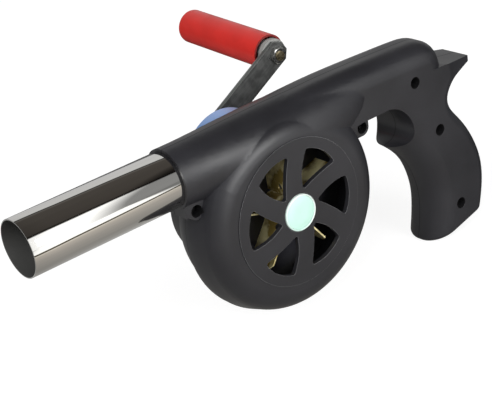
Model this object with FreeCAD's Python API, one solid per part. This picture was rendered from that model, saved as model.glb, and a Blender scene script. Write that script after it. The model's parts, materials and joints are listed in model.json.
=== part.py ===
import FreeCAD, Part
import math
import os
from FreeCAD import Vector

# Hand-cranked barbecue blower, in millimetres.
# The pieces are drawn about the fan's axis: X runs back along the barrel towards the grip, Y runs
# across the casing from the air intake to the crank, Z is up, and the shells part at Y = 0.
# Each piece is then moved, so that the origin is the centre of the air tube's mouth.

# Air tube
TUBE_R = 14.0
TUBE_WALL = 0.6
TUBE_Z = 36.3
TUBE_MOUTH_X = -138.4
TUBE_INNER_END_X = -46.5
TUBE_NECK_X = -58.6
TUBE_NECK_R = 13.8
BEAD_X = -48.2
BEAD_HEIGHT = 0.8
BEAD_GROOVE_WIDTH = 2.4
SEAT_GAP = 0.05
BARREL_END_X = -58.2
BARREL_STATIONS = [(BARREL_END_X, TUBE_Z, 15.2), (-35.0, 35.5, 16.3), (-8.0, 33.9, 18.7),
                   (18.0, 33.4, 19.3), (56.0, 39.3, 13.4)]
DUCT_R = 13.2
DUCT_LENGTH = 20.0
DUCT_SLANT_X = -34.0

# Fan casing: the round drum of the two shells
DRUM_R = 52.2
REAR_DRUM_R = 50.6
DRUM_FRONT_Y = -19.3
DRUM_REAR_Y = 19.5
FRONT_SHOULDER = 11.0
REAR_SHOULDER = 14.0
DRUM_WALL = 2.0
CHAMBER_R = 48.5
ROOF_R = 60.0
ROOF_CENTRE_Z = -12.0
FACE_RING_R = 37.4
FACE_RING_HEIGHT = 0.5
# The seam lip's outline, which runs out in a slope on the drum's shoulder: (radius, y)
LIP_OUTLINE = [(50.0, 0.0), (54.0, 0.0), (54.0, -3.5), (51.78, -11.31), (50.0, -11.31)]
LIP_TOP_Z = 24.0

# Intake grille
# Each slot's three corners and the middles of its curved sides between them: (radius, degrees)
SLOT_COUNT = 6
SLOT_OUTLINE = [(11.2, 70.0), (21.2, 77.5), (31.7, 73.5), (31.7, 54.0), (30.3, 34.5), (19.2, 47.5)]
SLOT_CORNER = 1.3
BADGE_R = 9.3
BADGE_GAP = 0.4
BADGE_FRONT_Y = -20.5
BADGE_SEAT_Y = -18.9
BADGE_RIM = (0.9, 0.15)
HUB_BOSS_R = 6.5
HUB_BOSS_Y = (-18.3, -14.3)

# Casing body and grip
BODY_HALF = 14.0
CREST_ROUND = 11.0
FRONT_STRAP_ROUND = 13.0
BACK_STRAP_ROUND = 6.0
CAVITY_HALF = 10.8
CAVITY_CREST = [(46.0, 46.2), (60.0, 46.0), (80.0, 45.0), (96.0, 43.8), (103.0, 40.5),
                (106.3, 35.0)]
CAVITY_FLOOR_Z = 31.0
CAVITY_FRONT = [(90.0, 33.0), (90.3, 20.0), (90.5, 8.0), (91.3, 0.0), (95.0, -10.0),
                (99.5, -20.0), (102.2, -32.0), (102.5, -41.0), (101.3, -50.0)]
CAVITY_BACK = [(123.0, -46.4), (127.6, -39.0), (129.2, -31.0), (128.4, -22.0), (124.6, -11.0),
               (118.6, -1.5), (112.0, 6.5), (108.6, 13.0), (107.9, 20.0), (104.0, 33.0)]
BODY_CREST = [(0.0, 51.9), (16.0, 52.5), (33.0, 52.95), (60.0, 52.6), (84.0, 51.8), (95.0, 51.3),
              (101.3, 50.5), (106.2, 48.4), (109.9, 44.5), (112.0, 39.3), (112.9, 32.0),
              (113.0, 22.0)]
BODY_UNDERSIDE_Z = 25.8
BODY_UNDERSIDE = [(98.0, 12.0), (70.0, BODY_UNDERSIDE_Z), (0.0, BODY_UNDERSIDE_Z)]
FRONT_STRAP = [(64.5, 9.2), (76.0, -0.3), (84.3, -8.2), (89.6, -15.6), (93.1, -23.9),
               (95.3, -33.2), (95.6, -41.0), (94.8, -48.0), (93.3, -56.0), (90.7, -66.0)]
BACK_STRAP = [(125.0, -66.0), (129.8, -54.0), (132.3, -45.0), (133.7, -36.0), (133.5, -27.0),
              (131.2, -17.5), (127.2, -8.3), (122.0, 0.1), (117.0, 6.6), (114.0, 11.6),
              (113.3, 16.0), (115.3, 20.5), (119.2, 24.4), (124.8, 27.2), (131.6, 29.3),
              (140.4, 31.2)]
GRIP_TOP_Z = 60.0
GRIP_BOTTOM = (95.0, -62.5)
GRIP_BOTTOM_TILT = 14.3
GRIP_BOTTOM_ROUND = 2.0
BITE_AHEAD_X = 50.0
FINGER_BITE = [(66.0, 26.1), (73.5, 25.0), (79.6, 20.6), (84.0, 13.5), (84.5, 7.5), (82.2, 3.2),
               (77.5, 1.2), (68.0, 0.8)]
TANG_ROOT = (110.6, 35.9)
TANG_TIP = (132.2, 32.8)
TANG_TAPER_X = 113.0
TANG_SIDE_END = (138.2, -7.5)
TANG_FLOOR_Z = 19.8

# Screw bosses: (x, z) of each axis
LUG_SCREWS = [(-51.4, 19.8), (55.2, 20.4)]
GRIP_SCREWS = [(88.6, 33.8), (102.6, 2.4), (112.8, -44.6)]
LUG_FRONT_Y = (-9.5, -8.0)
LUG_REAR_Y = 8.0
LUG_R = 4.4
LUG_WEBS = [[(-57.6, -43.7, 18.2, 27.0)], [(43.2, 59.6, 20.4, 29.4), (43.2, 55.2, 16.0, 29.4)]]
SCREW_R = 1.5
THREAD_GAP = 0.05
SCREW_HEAD_R = 2.75
SCREW_HEAD_H = 2.0
SCREW_CLEAR_R = 1.7
COUNTERBORE_R = 3.1
LUG_SEAT_Y = -3.0
GRIP_SEAT_Y = -6.0
SCREW_TIP_Y = 6.5
GRIP_BOSS_R = 5.0

# Gear train: crank gear -> compound gear -> fan pinion, 15 turns of the fan to one of the crank
CRANK_X = -7.5
CRANK_Z = 22.1
GEAR_MODULE = 0.8
PRESSURE_DEG = 25.0
CRANK_TEETH = 45
SMALL_TEETH = 12
LARGE_TEETH = 40
PINION_TEETH = 10
TOOTH_PLAY = 0.07
ADDENDUM = 0.8
DEDENDUM = 1.05
LARGE_GEAR_Y = (7.6, 11.2)
CRANK_GEAR_Y = (12.0, 16.4)
PLATE_Y = (5.2, 6.8)
PLATE_R = 48.2
PLATE_HUB_R = 2.4
DUCT_WALL_X = -31.0
DUCT_WALL_Z = 13.5
DUCT_WALL_GAP = 0.3
JOURNAL_R = 5.0
JOURNAL_END_Y = 10.6
JOURNAL_BORE_Y = 6.4
CRANK_HUB_R = 7.0
CRANK_HUB_END_Y = 19.1
SPOKE_HOLES = (6, 11.8, 3.0)
PINION_OVERHANG = 0.2
SMALL_SCREW_R = 1.25
SMALL_HEAD_R = 2.4
SMALL_HEAD_H = 1.5
SMALL_CLEAR = 0.15
PLATE_SCREW_TIP_Y = 13.0
COVER_SCREW_TIP_Y = 14.0
POST_R = 3.0
PLATE_POST_END_Y = 14.5
COVER_POST_R = 2.4
COVER_POST_Y = (12.5, 17.7)
PILOT_SPARE = 0.5
PLATE_POST_R = 44.0
PLATE_POST_DEG = (0.0, 75.0, 200.0, 285.0)

# Fan
FAN_SHAFT_R = 1.5
FAN_SHAFT_Y = (-17.3, 18.4)
RUNNING = 0.05
FRONT_BUSH_R = 3.5
FRONT_BUSH_Y = (-17.7, -14.3)
REAR_BUSH_R = 3.0
REAR_BUSH_Y = (12.8, 18.5)
REAR_POST_R = 4.0
REAR_POST_END_Y = 18.5
AXLE_END_Y = 18.8
AXLE_POST_R = 3.5
AXLE_POST_Y = 17.0
IMPELLER_R = 38.0
IMPELLER_DISC_Y = (2.4, 3.2)
# Each blade's outline: (radius, y)
BLADE_COUNT = 5
BLADE_OUTLINE = [(7.0, 2.4), (33.0, 2.4), (33.0, -10.0), (29.0, -14.0), (7.0, -14.0)]
BLADE_THICK = 0.8
BLADE_PHASE_DEG = 18.0
EYELET_R = 1.6
EYELET_AT = (10.5, -7.5)
FAN_HUB_R = 5.5
FAN_HUB_FRONT_Y = -8.0

# Gear case and crank
CASE_X = -16.3
CASE_Z = 6.5
CASE_R = 31.8
CASE_ROUND = 2.5
CASE_FRONT_Y = 5.0
CASE_REAR_Y = 20.75
CASE_OPENING_R = 19.2
COVER_R = 24.3
COVER_REAR_Y = 25.0
COVER_SKIRT_END_Y = 14.1
COVER_ROUND = 0.8
COVER_SCREW_R = 21.7
COVER_SCREW_DEG = (60.0, 150.0, 250.0)
COVER_GAP = 0.05
BEARING_END_Y = 35.4
BEARING_R = (10.0, 8.2)
BUSH_R = 6.0
BUSH_FLANGE = (7.4, 0.8)
CRANK_SHAFT_R = 4.0
SHAFT_END_R = 3.0
SHAFT_FLAT = 2.4
SHAFT_FRONT_Y = 7.0
SHAFT_STEP_Y = 11.8
SHAFT_REAR_Y = 51.2
COLLAR_R = 6.0
COLLAR_START_Y = 36.4
ARM_HOLE_GAP = 0.05
ARM_EYE_R = 8.0
ARM_FRONT_Y = 41.8
ARM_THICK = 2.7
ARM_WIDTH = 12.8
CRANK_LENGTH = 61.7
CRANK_ANGLE_DEG = 31.3
ARM_BEND_AT = 14.0
ARM_BEND_DEG = 2.4
CRANK_NUT_AF = 10.0
CRANK_NUT_H = 5.0
CRANK_WASHER_R = 6.0
CRANK_WASHER_H = 0.8
NUT_CHAMFER = 0.75

# Handle, measured along its bolt from the middle of the arm's thickness
BOLT_R = 2.5
NUT_AF = 8.0
NUT_H = 2.9
BOLT_STANDS_OUT = 0.6
SPACER_R = 7.7
SPACER_FLANGE = 4.8
SPACER_NECK_R = 5.5
SPACER_END = 14.2
SPACER_ROUND = 1.2
BOLT_CLEAR = 0.1
HANDLE_R = 9.2
HANDLE_START = 5.3
HANDLE_END = 75.9
HANDLE_RECESS_R = 8.1
HANDLE_RECESS_END = 14.5
HANDLE_ROUND = 2.6
HEAD_R = 4.4
HEAD_H = 3.0
HEAD_POCKET_R = 5.4
HEAD_POCKET_DEPTH = 6.0
WASHER_GAP = 0.1
HANDLE_WASHER_R = 4.8
HANDLE_WASHER_H = 0.8

CROSS_REACH = 0.62
CROSS_HALF = 0.35
HEAD_ROUND = 0.45

# How far a cutting tool runs past a face, and how close an edge lies to the place it is picked by
PAST = 1.0
CLOSE = 0.01
FAR = 200.0
AXIS_X = Vector(1, 0, 0)
AXIS_Y = Vector(0, 1, 0)
AXIS_Z = Vector(0, 0, 1)
ORIGIN = Vector(0, 0, 0)


def at(x, y, z):
    return Vector(x, y, z)


def disc(radius, y0, y1, x=0.0, z=0.0):
    """A cylinder along Y from y0 to y1."""
    return Part.makeCylinder(radius, y1 - y0, at(x, y0, z), AXIS_Y)


def ring(outer, inner, y0, y1, x=0.0, z=0.0):
    return disc(outer, y0, y1, x, z).cut(disc(inner, y0 - PAST, y1 + PAST, x, z))


def rod(radius, x0, x1):
    """A cylinder along X on the tube's axis."""
    return Part.makeCylinder(radius, x1 - x0, at(x0, 0, TUBE_Z), AXIS_X)


def box(x0, x1, y0, y1, z0, z1):
    return Part.makeBox(x1 - x0, y1 - y0, z1 - z0, at(x0, y0, z0))


def fuse_all(shapes):
    first, rest = shapes[0], shapes[1:]
    return first.fuse(rest).removeSplitter() if rest else first


def joined(shape, additions):
    """The shape with each addition fused on in turn."""
    for addition in additions:
        shape = shape.fuse(addition)
    return shape


def carved(shape, tools):
    """The shape with each tool cut away in turn."""
    for tool in tools:
        shape = shape.cut(tool)
    return shape


def polar(radius, degrees):
    angle = math.radians(degrees)
    return radius * math.cos(angle), radius * math.sin(angle)


def curve_xz(points):
    """A smooth edge through points (x, z) in the plane Y = 0."""
    curve = Part.BSplineCurve()
    curve.interpolate([at(x, 0, z) for x, z in points])
    return curve.toShape()


def lines_xz(points):
    ends = zip(points[:-1], points[1:])
    return [Part.makeLine(at(a[0], 0, a[1]), at(b[0], 0, b[1])) for a, b in ends]


def slab(edges, front_y, rear_y):
    """The closed outline in XZ, extruded from front_y to rear_y."""
    face = Part.Face(Part.Wire(edges))
    face.translate(at(0, front_y, 0))
    return face.extrude(at(0, rear_y - front_y, 0))


def half_slab(edges):
    """The front half of a piece of the body's width."""
    return slab(edges, -BODY_HALF, 0)


def outer_curves(half):
    """The curved edges on the flat side of a front half."""
    flat = [edge for edge in half.Edges if edge.BoundBox.YMax < CLOSE - BODY_HALF]
    return [edge for edge in flat if not isinstance(edge.Curve, Part.Line)]


def half_of(shape, side):
    """The part of a shape in front of the parting plane (side -1) or behind it (side 1)."""
    return shape.common(box(-FAR, FAR, min(0, side * FAR), max(0, side * FAR), -FAR, FAR))


def on_side(front_half, side):
    """A front half, or its mirror image for the rear shell."""
    return front_half if side < 0 else front_half.mirror(ORIGIN, AXIS_Y)


def spun(points, arcs):
    """A solid of revolution about Y. points are (radius, y); arcs maps a point's index to its middle."""
    edges = []
    closed = points + points[:1]
    for index in range(len(points)):
        start = at(closed[index][0], closed[index][1], 0)
        end = at(closed[index + 1][0], closed[index + 1][1], 0)
        if index in arcs:
            middle = at(arcs[index][0], arcs[index][1], 0)
            edges.append(Part.Arc(start, middle, end).toShape())
        else:
            edges.append(Part.makeLine(start, end))
    return Part.Face(Part.Wire(edges)).revolve(ORIGIN, AXIS_Y, 360)


def drum(radius, front_y, front_round, rear_y, rear_round):
    """The drum with a quarter-round shoulder at each face."""
    half = math.sqrt(0.5)
    front_c = (radius - front_round, front_y + front_round)
    rear_c = (radius - rear_round, rear_y - rear_round)
    points = [(0, front_y), (front_c[0], front_y), (radius, front_c[1]), (radius, rear_c[1]),
              (rear_c[0], rear_y), (0, rear_y)]
    arcs = {1: (front_c[0] + front_round * half, front_c[1] - front_round * half),
            3: (rear_c[0] + rear_round * half, rear_c[1] + rear_round * half)}
    return spun(points, arcs)


def barrel(clearance=0.0):
    """The round barrel that widens from the tube's socket into the drum."""
    wires = []
    for x, z, radius in BARREL_STATIONS:
        circle = Part.Circle(at(x, 0, z), AXIS_X, radius + clearance)
        wires.append(Part.Wire([circle.toShape()]))
    return Part.makeLoft(wires, True, False)


def upper_body():
    """The front half of the flat-sided body over the hand, with its rounded crest."""
    edges = [curve_xz(BODY_CREST)] + lines_xz([BODY_CREST[-1]] + BODY_UNDERSIDE + [BODY_CREST[0]])
    body = half_slab(edges)
    return body.makeFillet(CREST_ROUND, outer_curves(body))


def grip():
    """The front half of the pistol grip with its rounded straps, waist and thumb tang."""
    closing = [FRONT_STRAP[-1], BACK_STRAP[0]]
    top = [BACK_STRAP[-1], (BACK_STRAP[-1][0], GRIP_TOP_Z), (FRONT_STRAP[0][0], GRIP_TOP_Z),
           FRONT_STRAP[0]]
    edges = [curve_xz(FRONT_STRAP)] + lines_xz(closing) + [curve_xz(BACK_STRAP)] + lines_xz(top)
    body = half_slab(edges)
    body = body.makeFillet(FRONT_STRAP_ROUND, strap_edges(body, BACK_STRAP[0][0], False))
    body = body.makeFillet(BACK_STRAP_ROUND, strap_edges(body, BACK_STRAP[0][0], True))
    body = body.cut(below_bottom())
    body = body.makeFillet(GRIP_BOTTOM_ROUND, bottom_edges(body))
    return body.cut(above_tang()).cut(tang_side())


def strap_edges(half, x, behind):
    """The side edges of the straps: those that reach behind x, or those that don't."""
    return [edge for edge in outer_curves(half) if (edge.BoundBox.XMax > x + PAST) == behind]


def hand_body():
    return upper_body().fuse(grip()).cut(finger_bite())


def below_bottom():
    block = box(-FAR, FAR, -FAR, FAR, -FAR, 0)
    block.rotate(ORIGIN, AXIS_Y, -GRIP_BOTTOM_TILT)
    block.translate(at(GRIP_BOTTOM[0], 0, GRIP_BOTTOM[1]))
    return block


def bottom_edges(body):
    slope = math.tan(math.radians(GRIP_BOTTOM_TILT))

    def height(point):
        return point.z - GRIP_BOTTOM[1] - (point.x - GRIP_BOTTOM[0]) * slope

    def is_low(edge):
        middle = edge.valueAt((edge.FirstParameter + edge.LastParameter) / 2)
        points = [vertex.Point for vertex in edge.Vertexes] + [middle]
        return all(abs(height(point)) < 2 * CLOSE for point in points)

    return [edge for edge in body.Edges if is_low(edge) and edge.BoundBox.YMin < -CLOSE]


def above_tang():
    """Everything over the tang's top and behind its tip."""
    top = lines_xz([TANG_ROOT, TANG_TIP, (TANG_TIP[0], BODY_UNDERSIDE_Z), (FAR, BODY_UNDERSIDE_Z),
                    (FAR, FAR), (-FAR, FAR), (-FAR, TANG_ROOT[1]), TANG_ROOT])
    return slab(top, -FAR, FAR)


def tang_side():
    """The wedge that narrows the tang's front half towards its tip, seen from above."""
    corners = [(TANG_TAPER_X, -BODY_HALF), TANG_SIDE_END, (FAR, -FAR), (TANG_TAPER_X, -FAR)]
    points = [at(x, y, TANG_FLOOR_Z) for x, y in corners]
    return Part.Face(Part.makePolygon(points + points[:1])).extrude(at(0, 0, FAR))


def finger_bite():
    """The scoop for the first finger, under the body and over the front strap."""
    ahead = [FINGER_BITE[-1], (BITE_AHEAD_X, FINGER_BITE[-1][1]), (BITE_AHEAD_X, FINGER_BITE[0][1]),
             FINGER_BITE[0]]
    return slab([curve_xz(FINGER_BITE)] + lines_xz(ahead), -FAR, FAR)


def lugs():
    """The two screw lugs beside the drum."""
    pieces = []
    for (x, z), front_y, webs in zip(LUG_SCREWS, LUG_FRONT_Y, LUG_WEBS):
        pieces.append(disc(LUG_R, front_y, LUG_REAR_Y, x, z))
        pieces += [box(x0, x1, front_y, LUG_REAR_Y, z0, z1) for x0, x1, z0, z1 in webs]
    return fuse_all(pieces)


def seam_lip():
    """The raised edge of the front shell round the lower drum."""
    lip = spun(LIP_OUTLINE, {})
    return lip.cut(box(-FAR, FAR, -FAR, FAR, LIP_TOP_Z, FAR))


def hand_cavities():
    """The front halves of the hollows in the upper body and in the grip."""
    floor = [(CAVITY_CREST[-1][0], CAVITY_FLOOR_Z), (CAVITY_CREST[0][0], CAVITY_FLOOR_Z)]
    upper = [curve_xz(CAVITY_CREST)] + lines_xz([CAVITY_CREST[-1]] + floor + [CAVITY_CREST[0]])
    lower = [curve_xz(CAVITY_FRONT), curve_xz(CAVITY_BACK)]
    lower[1:1] = lines_xz([CAVITY_FRONT[-1], CAVITY_BACK[0]])
    lower += lines_xz([CAVITY_BACK[-1], CAVITY_FRONT[0]])
    return [slab(edges, -CAVITY_HALF, 0) for edges in (upper, lower)]


def under_roof(inset):
    """A wider, lower drum in front, which flattens the drum's top, and all that lies behind it."""
    flatter = drum(ROOF_R - inset, DRUM_FRONT_Y + inset, FRONT_SHOULDER - inset, FAR, REAR_SHOULDER)
    flatter.translate(at(0, 0, ROOF_CENTRE_Z))
    return half_of(flatter, -1).fuse(box(-FAR, FAR, 0, FAR, -FAR, FAR))


def gear_case():
    """The raised rear of the casing over the compound gear."""
    case = disc(CASE_R, CASE_FRONT_Y, CASE_REAR_Y, CASE_X, CASE_Z)
    return case.makeFillet(CASE_ROUND, rear_rim(case))


def rear_rim(shape):
    """The round edge that ends a piece at its largest Y."""
    last = shape.BoundBox.YMax
    rounds = [edge for edge in shape.Edges if edge.BoundBox.YMin > last - CLOSE]
    return [edge for edge in rounds if isinstance(edge.Curve, Part.Circle)]


def air_passages():
    """The fan chamber and the duct from it into the tube."""
    inner = drum(CHAMBER_R, DRUM_FRONT_Y + DRUM_WALL, FRONT_SHOULDER - DRUM_WALL,
                 DRUM_REAR_Y - DRUM_WALL, REAR_SHOULDER - DRUM_WALL)
    duct_wall = box(-FAR, DUCT_WALL_X, PLATE_Y[0], FAR, DUCT_WALL_Z, FAR)
    chamber = inner.cut(duct_wall).common(under_roof(DRUM_WALL))
    duct = rod(DUCT_R, TUBE_INNER_END_X - PAST, TUBE_INNER_END_X + DUCT_LENGTH)
    slant = [at(TUBE_INNER_END_X, DUCT_R, 0), at(DUCT_SLANT_X, PLATE_Y[0], 0), at(0, PLATE_Y[0], 0),
             at(0, FAR, 0), at(TUBE_INNER_END_X, FAR, 0)]
    wedge = Part.Face(Part.makePolygon(slant + slant[:1])).extrude(at(0, 0, FAR))
    return [chamber, duct.cut(wedge)]


def tube_seat():
    """The socket that holds the tube's neck, with the groove for its bead."""
    half = BEAD_GROOVE_WIDTH / 2
    socket = rod(TUBE_NECK_R + SEAT_GAP, BARREL_END_X - PAST, TUBE_INNER_END_X)
    groove = rod(TUBE_NECK_R + BEAD_HEIGHT + 2 * SEAT_GAP, BEAD_X - half, BEAD_X + half)
    return fuse_all([socket, groove])


def grille_slots():
    """The swirl of intake openings round the hub."""
    outline = [polar(radius, degrees) for radius, degrees in SLOT_OUTLINE]
    points = [at(x, DRUM_FRONT_Y - DRUM_WALL, z) for x, z in outline + outline[:1]]
    edges = [Part.Arc(*points[start:start + 3]).toShape() for start in (0, 2, 4)]
    slot = Part.Face(Part.Wire(edges)).extrude(at(0, 3 * DRUM_WALL, 0))
    corners = [edge for edge in slot.Edges
               if edge.BoundBox.YLength > DRUM_WALL and edge.BoundBox.XLength < CLOSE]
    slot = slot.makeFillet(SLOT_CORNER, corners)
    slots = []
    for number in range(SLOT_COUNT):
        turned = slot.copy()
        turned.rotate(ORIGIN, AXIS_Y, number * 360.0 / SLOT_COUNT)
        slots.append(turned)
    return slots


def crank_spot(radius, degrees):
    x, z = polar(radius, degrees)
    return CRANK_X + x, CRANK_Z + z


def pitch_r(teeth):
    return GEAR_MODULE * teeth / 2.0


def idler_spot():
    """The compound gear's axis: in mesh with the crank gear and the fan pinion."""
    to_fan = pitch_r(LARGE_TEETH) + pitch_r(PINION_TEETH)
    to_crank = pitch_r(CRANK_TEETH) + pitch_r(SMALL_TEETH)
    apart = math.hypot(CRANK_X, CRANK_Z)
    bend = math.acos((apart ** 2 + to_fan ** 2 - to_crank ** 2) / (2 * apart * to_fan))
    angle = math.atan2(CRANK_Z, CRANK_X) - bend
    return to_fan * math.cos(angle), to_fan * math.sin(angle)


IDLER_X, IDLER_Z = idler_spot()


def shell(side):
    """One half of the casing with its hollows and inner bosses: side -1 is the front, 1 the rear."""
    body = hand_body()
    face_ring = disc(FACE_RING_R, DRUM_FRONT_Y - FACE_RING_HEIGHT, DRUM_FRONT_Y + PAST)
    radius = DRUM_R if side < 0 else REAR_DRUM_R
    round_body = drum(radius, DRUM_FRONT_Y, FRONT_SHOULDER, DRUM_REAR_Y, REAR_SHOULDER)
    round_body = round_body.common(under_roof(0.0))
    outside = joined(half_of(round_body, side), [
        half_of(barrel(), side), on_side(body, side), half_of(lugs(), side)])
    outside = joined(outside, [face_ring, seam_lip()] if side < 0 else [gear_case()])
    hollows = [half_of(hollow, side) for hollow in air_passages() + [tube_seat()]]
    hollows += [on_side(cavity, side) for cavity in hand_cavities()]
    hollow_shell = carved(outside.removeSplitter(), hollows)
    bosses = [half_of(disc(GRIP_BOSS_R, PAST - BODY_HALF, BODY_HALF - PAST, x, z), side)
              for x, z in GRIP_SCREWS]
    return joined(hollow_shell, bosses)


def screw_seats():
    """Each shell screw's axis with the depth its head sits at."""
    lug_seats = [(spot, LUG_SEAT_Y) for spot in LUG_SCREWS]
    return lug_seats + [(spot, GRIP_SEAT_Y) for spot in GRIP_SCREWS]


def front_shell():
    solid = joined(shell(-1), [disc(HUB_BOSS_R, *HUB_BOSS_Y)])
    cuts = grille_slots() + [disc(BADGE_R + BADGE_GAP, -FAR, BADGE_SEAT_Y),
                             disc(FRONT_BUSH_R, FRONT_BUSH_Y[0], 0)]
    for (x, z), seat in screw_seats():
        cuts.append(disc(COUNTERBORE_R, -FAR, seat, x, z))
        cuts.append(disc(SCREW_CLEAR_R, seat - PAST, PAST, x, z))
    return carved(solid, cuts)


def rear_shell():
    posts = [disc(REAR_POST_R, REAR_BUSH_Y[0], REAR_POST_END_Y),
             disc(AXLE_POST_R, AXLE_POST_Y, REAR_POST_END_Y, IDLER_X, IDLER_Z)]
    cuts = [disc(CASE_OPENING_R, PLATE_Y[1], FAR, CRANK_X, CRANK_Z),
            disc(COVER_R + COVER_GAP, DRUM_REAR_Y, FAR, CRANK_X, CRANK_Z),
            disc(REAR_BUSH_R, REAR_BUSH_Y[0] - PAST, REAR_BUSH_Y[1]),
            disc(FAN_SHAFT_R, AXLE_POST_Y - PAST, AXLE_END_Y, IDLER_X, IDLER_Z)]
    for degrees in PLATE_POST_DEG:
        x, z = polar(PLATE_POST_R, degrees)
        posts.append(disc(POST_R, PLATE_Y[1], PLATE_POST_END_Y, x, z))
        cuts.append(disc(SMALL_SCREW_R, 0, PLATE_SCREW_TIP_Y + PILOT_SPARE, x, z))
    for degrees in COVER_SCREW_DEG:
        x, z = crank_spot(COVER_SCREW_R, degrees)
        posts.append(disc(COVER_POST_R, *COVER_POST_Y, x, z))
        cuts.append(disc(SMALL_SCREW_R, COVER_POST_Y[0] - PAST, FAR, x, z))
    for x, z in LUG_SCREWS + GRIP_SCREWS:
        cuts.append(disc(SCREW_R, -PAST, SCREW_TIP_Y + PILOT_SPARE, x, z))
    return carved(joined(shell(1), posts), cuts)


def air_tube():
    """The tube: full width outside the casing, with a narrower beaded neck inside it."""
    outer = rod(TUBE_R, TUBE_MOUTH_X, TUBE_NECK_X)
    neck = rod(TUBE_NECK_R, TUBE_NECK_X - PAST, TUBE_INNER_END_X)
    bead = Part.makeTorus(TUBE_NECK_R, BEAD_HEIGHT, at(BEAD_X, 0, TUBE_Z), AXIS_X)
    bore = rod(TUBE_R - TUBE_WALL, TUBE_MOUTH_X - PAST, TUBE_INNER_END_X + PAST)
    return joined(outer, [neck, bead]).cut(bore).removeSplitter()


def hub_badge():
    """The bare round badge that closes the grille's hub."""
    rim_width, rim_height = BADGE_RIM
    rim = ring(BADGE_R, BADGE_R - rim_width, BADGE_FRONT_Y - rim_height, BADGE_FRONT_Y)
    return fuse_all([disc(BADGE_R, BADGE_FRONT_Y, BADGE_SEAT_Y), rim])


def gear_plate():
    """The partition between the fan chamber and the gears."""
    plate = disc(PLATE_R, *PLATE_Y)
    plate = plate.cut(box(-FAR, DUCT_WALL_X + DUCT_WALL_GAP, -FAR, FAR, DUCT_WALL_Z - DUCT_WALL_GAP, FAR))
    journal = disc(JOURNAL_R, PLATE_Y[0], JOURNAL_END_Y, CRANK_X, CRANK_Z)
    cuts = [disc(PLATE_HUB_R, 0, FAR), disc(FAN_SHAFT_R, 0, FAR, IDLER_X, IDLER_Z),
            disc(SHAFT_END_R + RUNNING, JOURNAL_BORE_Y, FAR, CRANK_X, CRANK_Z)]
    for degrees in PLATE_POST_DEG:
        x, z = polar(PLATE_POST_R, degrees)
        cuts.append(disc(SMALL_SCREW_R + SMALL_CLEAR, 0, FAR, x, z))
    return fuse_all([plate, journal]).cut(cuts)


def cross_recess(radius, x, y, z, depth, way):
    """The cross in a screw's head, cut from y inwards along way."""
    arm = radius * CROSS_REACH
    y0, y1 = sorted((y - way * CLOSE, y + way * depth))
    return fuse_all([box(x - arm, x + arm, y0, y1, z - CROSS_HALF, z + CROSS_HALF),
                     box(x - CROSS_HALF, x + CROSS_HALF, y0, y1, z - arm, z + arm)])


def pan_screw(x, z, seat, tip, shank_r, head_r, head_h):
    """A pan-head screw: the head sits on seat, the tip is at tip."""
    way = 1 if tip > seat else -1
    head_top = seat - way * head_h
    head = disc(head_r, min(seat, head_top), max(seat, head_top), x, z)
    rounded = [edge for edge in head.Edges if isinstance(edge.Curve, Part.Circle)
               and abs(edge.BoundBox.YMin - head_top) < CLOSE]
    head = head.makeFillet(head_h * HEAD_ROUND, rounded)
    shank = disc(shank_r, min(seat, tip), max(seat, tip), x, z)
    screw = fuse_all([head, shank])
    return screw.cut(cross_recess(head_r, x, head_top, z, head_h * CROSS_REACH, way))


def shell_screws():
    shank_r = SCREW_R - THREAD_GAP
    return Part.makeCompound([pan_screw(x, z, seat, SCREW_TIP_Y, shank_r, SCREW_HEAD_R, SCREW_HEAD_H)
                              for (x, z), seat in screw_seats()])


def small_screws(spots, seat, tip):
    shank_r = SMALL_SCREW_R - THREAD_GAP
    return Part.makeCompound([pan_screw(x, z, seat, tip, shank_r, SMALL_HEAD_R, SMALL_HEAD_H)
                              for x, z in spots])


def gear_plate_screws():
    spots = [polar(PLATE_POST_R, degrees) for degrees in PLATE_POST_DEG]
    return small_screws(spots, PLATE_Y[0], PLATE_SCREW_TIP_Y)


def gear_cover_screws():
    spots = [crank_spot(COVER_SCREW_R, degrees) for degrees in COVER_SCREW_DEG]
    return small_screws(spots, COVER_REAR_Y, COVER_SCREW_TIP_Y)


def cover_skirt():
    """The edge of the cover that reaches down over the drum's shoulder."""
    skirt = ring(COVER_R, CASE_OPENING_R, COVER_SKIRT_END_Y, DRUM_REAR_Y, CRANK_X, CRANK_Z)
    shoulder = drum(REAR_DRUM_R + COVER_GAP, DRUM_FRONT_Y, FRONT_SHOULDER,
                    DRUM_REAR_Y + COVER_GAP, REAR_SHOULDER)
    case = disc(CASE_R + COVER_GAP, CASE_FRONT_Y, CASE_REAR_Y, CASE_X, CASE_Z)
    return carved(skirt, [shoulder, case, barrel(COVER_GAP)])


def gear_cover():
    """The round cover over the crank gear, with the crank's bearing boss."""
    plate = disc(COVER_R, DRUM_REAR_Y, COVER_REAR_Y, CRANK_X, CRANK_Z)
    plate = plate.makeFillet(COVER_ROUND, rear_rim(plate))
    boss_start = COVER_REAR_Y - PAST
    boss = Part.makeCone(*BEARING_R, BEARING_END_Y - boss_start, at(CRANK_X, boss_start, CRANK_Z), AXIS_Y)
    cuts = [disc(BUSH_R, 0, FAR, CRANK_X, CRANK_Z)]
    for degrees in COVER_SCREW_DEG:
        x, z = crank_spot(COVER_SCREW_R, degrees)
        cuts.append(disc(SMALL_SCREW_R + SMALL_CLEAR, 0, FAR, x, z))
    return fuse_all([plate, boss, cover_skirt()]).cut(cuts)


def crank_bush():
    flange_r, flange_h = BUSH_FLANGE
    sleeve = disc(BUSH_R, DRUM_REAR_Y, BEARING_END_Y, CRANK_X, CRANK_Z)
    flange = disc(flange_r, BEARING_END_Y, BEARING_END_Y + flange_h, CRANK_X, CRANK_Z)
    bore = disc(CRANK_SHAFT_R + RUNNING, 0, FAR, CRANK_X, CRANK_Z)
    return fuse_all([sleeve, flange]).cut(bore)


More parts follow.
